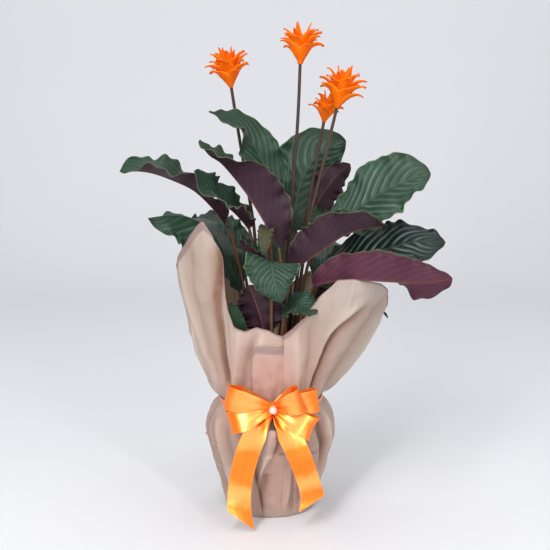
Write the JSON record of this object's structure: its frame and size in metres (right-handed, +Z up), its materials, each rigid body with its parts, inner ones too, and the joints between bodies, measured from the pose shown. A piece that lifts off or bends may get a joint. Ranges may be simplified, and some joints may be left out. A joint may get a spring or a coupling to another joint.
{
  "type": "potted calathea",
  "caption": "Prayer plant with orange flower heads and striped, purple-backed leaves in a nursery pot, gift wrapped in beige film and tied with an orange satin bow",
  "frame": {"origin": "middle of the flat underside of the wrapped pot, at the surface it stands on", "axes": "+Z up along the pot's axis; the bow faces -Y; +X to the right as seen from the bow's side"},
  "size_m": [0.3531, 0.2103, 0.5387],
  "materials": {
    "pot": "dark matte nursery pot",
    "soil": "dark crumbly potting mix",
    "film": "translucent matte beige wrapping film",
    "ribbon": "orange satin",
    "bead": "pearl",
    "leaf": "dark green with silvery stripes above, dark purple below, soft sheen",
    "stem": "brown olive, matte",
    "bract": "bright orange, soft"
  },
  "bodies": {
    "root": {"pot": "pot", "soil": "soil", "wrap_film": "film", "waist_tie": "ribbon", "ribbon_bow": "ribbon", "bow_bead": "bead", "leaf_left_far": "leaf", "leaf_left_near": "leaf", "leaf_left_tall": "leaf", "leaf_back_left": "leaf", "leaf_back_sliver": "leaf", "leaf_back_tall": "leaf", "leaf_back_right": "leaf", "leaf_right_high": "leaf", "leaf_right_dark": "leaf", "leaf_front_droop": "leaf", "leaf_right_low": "leaf", "leaf_right_front": "leaf", "leaf_left_dark": "leaf", "leaf_center_young": "leaf", "leaf_left_low": "leaf", "leaf_collar_right": "leaf", "leaf_collar_mid": "leaf", "leaf_collar_left": "leaf", "leaf_right_under": "leaf", "leaf_rear_left": "leaf", "leaf_rear_mid": "leaf", "leaf_rear_right": "leaf", "flower_stem_left": "stem", "flower_stem_tall": "stem", "flower_stem_front": "stem", "flower_stem_behind": "stem", "flower_head_left": "bract", "flower_head_tall": "bract", "flower_head_front": "bract", "flower_head_behind": "bract"}
  },
  "joints": []
}
